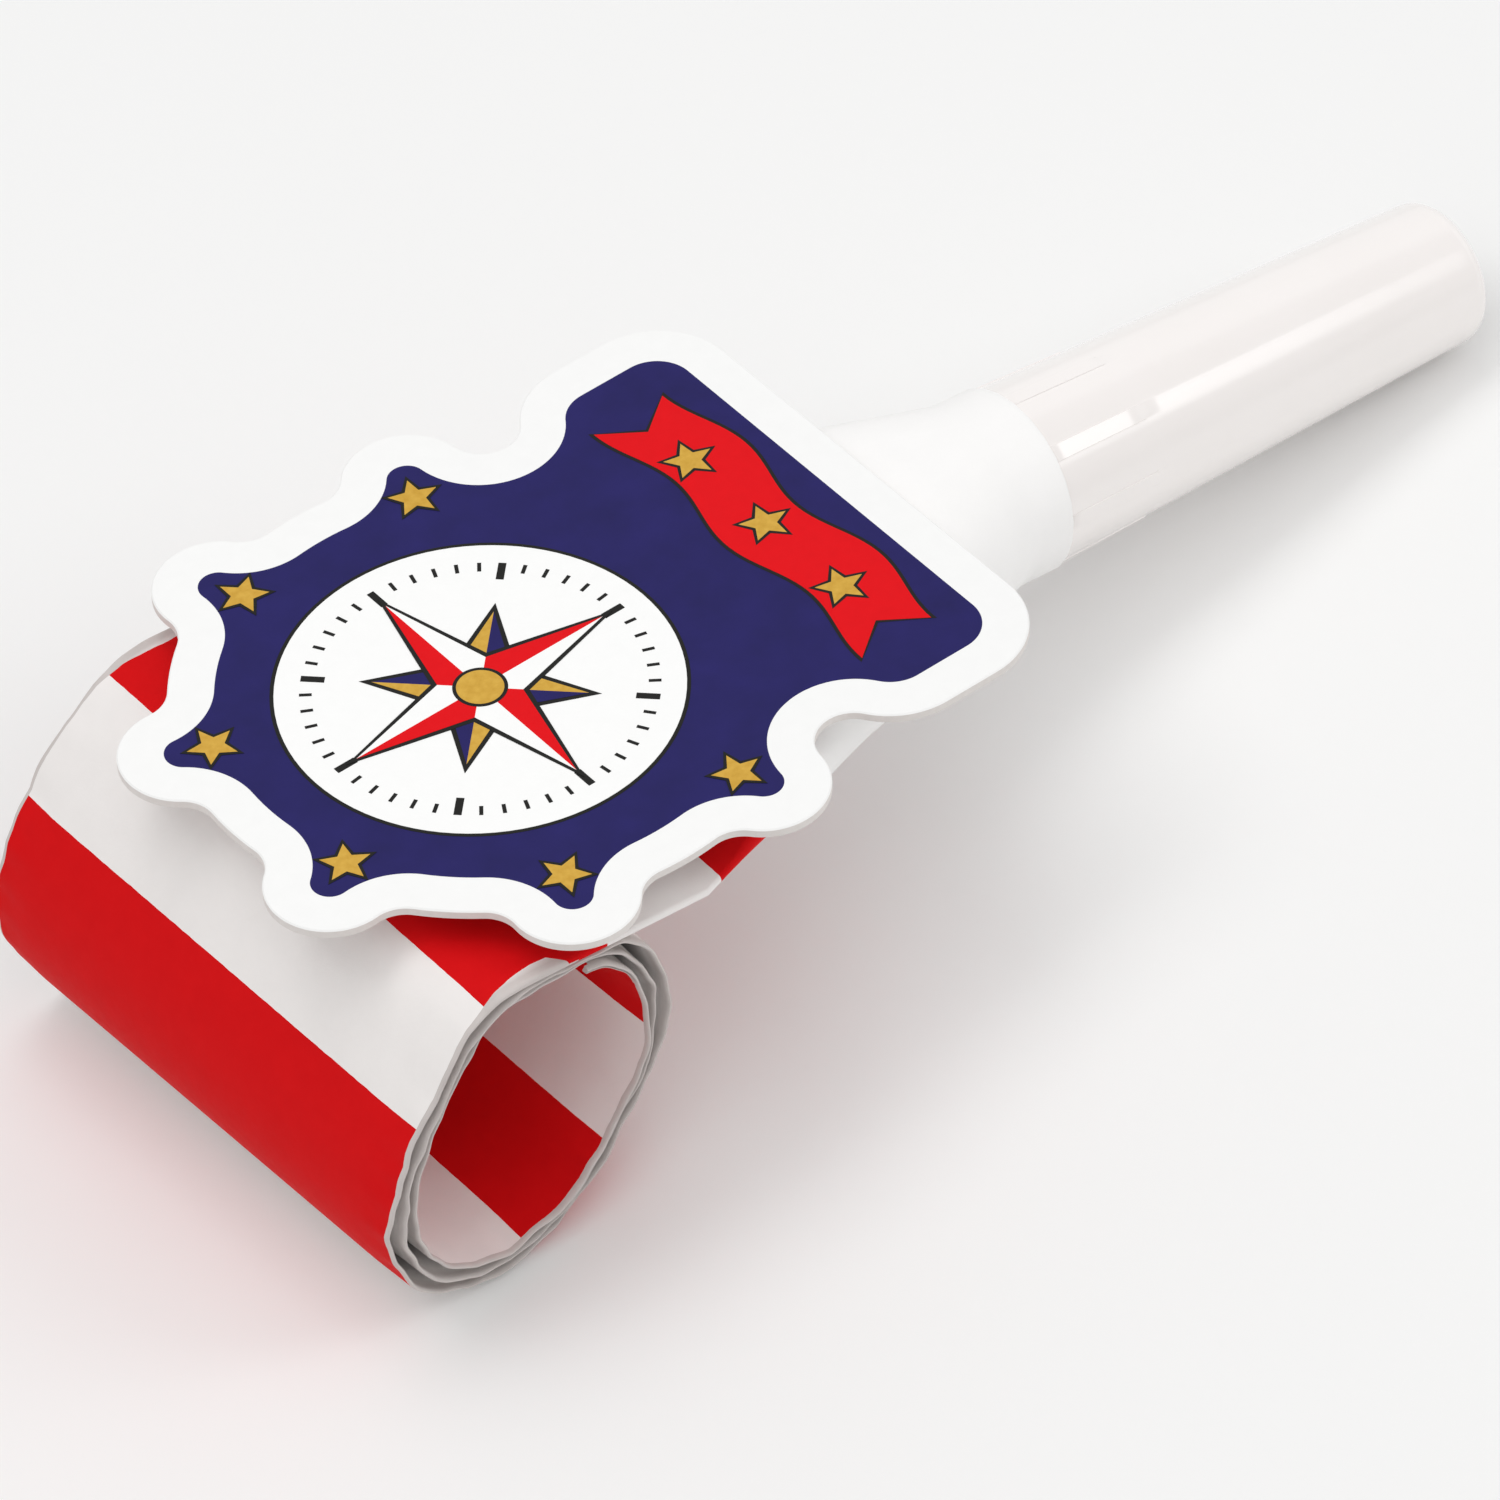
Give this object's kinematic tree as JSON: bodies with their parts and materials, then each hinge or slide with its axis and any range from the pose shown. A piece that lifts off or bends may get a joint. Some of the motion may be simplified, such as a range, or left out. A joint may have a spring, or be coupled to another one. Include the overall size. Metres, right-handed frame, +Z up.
{
  "type": "party horn blower",
  "caption": "Party horn blower: tapered reed mouthpiece, paper neck, striped paper tube that unrolls when blown and curls back, and a lobed card topper.",
  "frame": {"origin": "on the table, under the middle of the horn's outer box", "axes": "+X forward, the way the tube shoots out; +Y across the tube; +Z up. The horn lies as it comes to rest, on its roll and on the lip of its mouthpiece, so its own axis rises forward by about 12 degrees"},
  "size_m": [0.1312, 0.056, 0.0357],
  "materials": {
    "mouthpiece_plastic": "milky translucent polypropylene, glossy",
    "reed_plastic": "white moulded plastic",
    "reed_film": "clear stiff film",
    "white_paper": "smooth white paper",
    "striped_paper": "paper printed with wide red and white stripes",
    "recoil_film": "clear pre-curled film",
    "printed_card": "thick white card with a glossy print",
    "foam": "white double-sided foam"
  },
  "bodies": {
    "horn": {"mouthpiece": "mouthpiece_plastic", "reed_plug": "reed_plastic", "reed_clamp": "reed_plastic", "paper_neck": "white_paper", "card_topper": "printed_card", "foam_pad_rear": "foam", "foam_pad_front": "foam", "recoil_strip_left": "recoil_film", "recoil_strip_right": "recoil_film"},
    "reed": {"reed_tongue": "reed_film"},
    "span_01": {"tube_span_01": "striped_paper"},
    "span_02": {"tube_span_02": "striped_paper"},
    "span_03": {"tube_span_03": "striped_paper"},
    "span_04": {"tube_span_04": "striped_paper"},
    "span_05": {"tube_span_05": "striped_paper"},
    "span_06": {"tube_span_06": "striped_paper"},
    "span_07": {"tube_span_07": "striped_paper"},
    "span_08": {"tube_span_08": "striped_paper"},
    "span_09": {"tube_span_09": "striped_paper"},
    "span_10": {"tube_span_10": "striped_paper"},
    "span_11": {"tube_span_11": "striped_paper"},
    "span_12": {"tube_span_12": "striped_paper"},
    "span_13": {"tube_span_13": "striped_paper"},
    "span_14": {"tube_span_14": "striped_paper"},
    "span_15": {"tube_span_15": "striped_paper"},
    "span_16": {"tube_span_16": "striped_paper", "tip_fold": "striped_paper"}
  },
  "joints": [
    {"name": "unroll_01", "type": "hinge", "parent": "horn", "child": "span_01", "pos_m": [0.04675, 0, 0.03045], "axis": [0, -1, 0], "range_deg": [0, 25], "stiffness_Nm_per_rad": 0.02},
    {"name": "unroll_02", "type": "hinge", "parent": "span_01", "child": "span_02", "pos_m": [0.06264, 0, 0.02444], "axis": [0, -1, 0], "range_deg": [0, 66], "stiffness_Nm_per_rad": 0.02},
    {"name": "unroll", "type": "hinge", "parent": "span_02", "child": "span_03", "pos_m": [0.06361, 0, 0.0077], "axis": [0, -1, 0], "range_deg": [0, 66], "stiffness_Nm_per_rad": 0.02, "deforming": ["recoil_strip_left", "recoil_strip_right"]},
    {"name": "unroll_04", "type": "hinge", "parent": "span_03", "child": "span_04", "pos_m": [0.04891, 0, 0.00012], "axis": [0, -1, 0], "range_deg": [0, 66], "stiffness_Nm_per_rad": 0.02},
    {"name": "unroll_05", "type": "hinge", "parent": "span_04", "child": "span_05", "pos_m": [0.03619, 0, 0.01032], "axis": [0, -1, 0], "range_deg": [0, 66], "stiffness_Nm_per_rad": 0.02},
    {"name": "unroll_06", "type": "hinge", "parent": "span_05", "child": "span_06", "pos_m": [0.04027, 0, 0.02586], "axis": [0, -1, 0], "range_deg": [0, 66], "stiffness_Nm_per_rad": 0.02},
    {"name": "unroll_07", "type": "hinge", "parent": "span_06", "child": "span_07", "pos_m": [0.05591, 0, 0.02842], "axis": [0, -1, 0], "range_deg": [0, 66], "stiffness_Nm_per_rad": 0.02},
    {"name": "unroll_08", "type": "hinge", "parent": "span_07", "child": "span_08", "pos_m": [0.06448, 0, 0.01537], "axis": [0, -1, 0], "range_deg": [0, 66], "stiffness_Nm_per_rad": 0.02},
    {"name": "unroll_09", "type": "hinge", "parent": "span_08", "child": "span_09", "pos_m": [0.05616, 0, 0.00242], "axis": [0, -1, 0], "range_deg": [0, 66], "stiffness_Nm_per_rad": 0.02},
    {"name": "unroll_10", "type": "hinge", "parent": "span_09", "child": "span_10", "pos_m": [0.04118, 0, 0.00472], "axis": [0, -1, 0], "range_deg": [0, 66], "stiffness_Nm_per_rad": 0.02},
    {"name": "unroll_11", "type": "hinge", "parent": "span_10", "child": "span_11", "pos_m": [0.03725, 0, 0.01912], "axis": [0, -1, 0], "range_deg": [0, 66], "stiffness_Nm_per_rad": 0.02},
    {"name": "unroll_12", "type": "hinge", "parent": "span_11", "child": "span_12", "pos_m": [0.04862, 0, 0.02842], "axis": [0, -1, 0], "range_deg": [0, 66], "stiffness_Nm_per_rad": 0.02},
    {"name": "unroll_13", "type": "hinge", "parent": "span_12", "child": "span_13", "pos_m": [0.06155, 0, 0.02192], "axis": [0, -1, 0], "range_deg": [0, 66], "stiffness_Nm_per_rad": 0.02},
    {"name": "unroll_14", "type": "hinge", "parent": "span_13", "child": "span_14", "pos_m": [0.06087, 0, 0.0077], "axis": [0, -1, 0], "range_deg": [0, 66], "stiffness_Nm_per_rad": 0.02},
    {"name": "unroll_15", "type": "hinge", "parent": "span_14", "child": "span_15", "pos_m": [0.04782, 0, 0.00261], "axis": [0, -1, 0], "range_deg": [0, 66], "stiffness_Nm_per_rad": 0.02},
    {"name": "unroll_16", "type": "hinge", "parent": "span_15", "child": "span_16", "pos_m": [0.03803, 0, 0.01231], "axis": [0, -1, 0], "range_deg": [0, 66], "stiffness_Nm_per_rad": 0.02},
    {"name": "reed_flex", "type": "hinge", "parent": "horn", "child": "reed", "pos_m": [-0.01732, 0, 0.01774], "axis": [0, 1, 0], "range_deg": [-3, 3], "stiffness_Nm_per_rad": 0.0012}
  ],
  "couplings": [
    {"joint": "unroll_01", "follows": "unroll", "ratio": 0.37879},
    {"joint": "unroll_02", "follows": "unroll", "ratio": 1},
    {"joint": "unroll_04", "follows": "unroll", "ratio": 1},
    {"joint": "unroll_05", "follows": "unroll", "ratio": 1},
    {"joint": "unroll_06", "follows": "unroll", "ratio": 1},
    {"joint": "unroll_07", "follows": "unroll", "ratio": 1},
    {"joint": "unroll_08", "follows": "unroll", "ratio": 1},
    {"joint": "unroll_09", "follows": "unroll", "ratio": 1},
    {"joint": "unroll_10", "follows": "unroll", "ratio": 1},
    {"joint": "unroll_11", "follows": "unroll", "ratio": 1},
    {"joint": "unroll_12", "follows": "unroll", "ratio": 1},
    {"joint": "unroll_13", "follows": "unroll", "ratio": 1},
    {"joint": "unroll_14", "follows": "unroll", "ratio": 1},
    {"joint": "unroll_15", "follows": "unroll", "ratio": 1},
    {"joint": "unroll_16", "follows": "unroll", "ratio": 1}
  ]
}
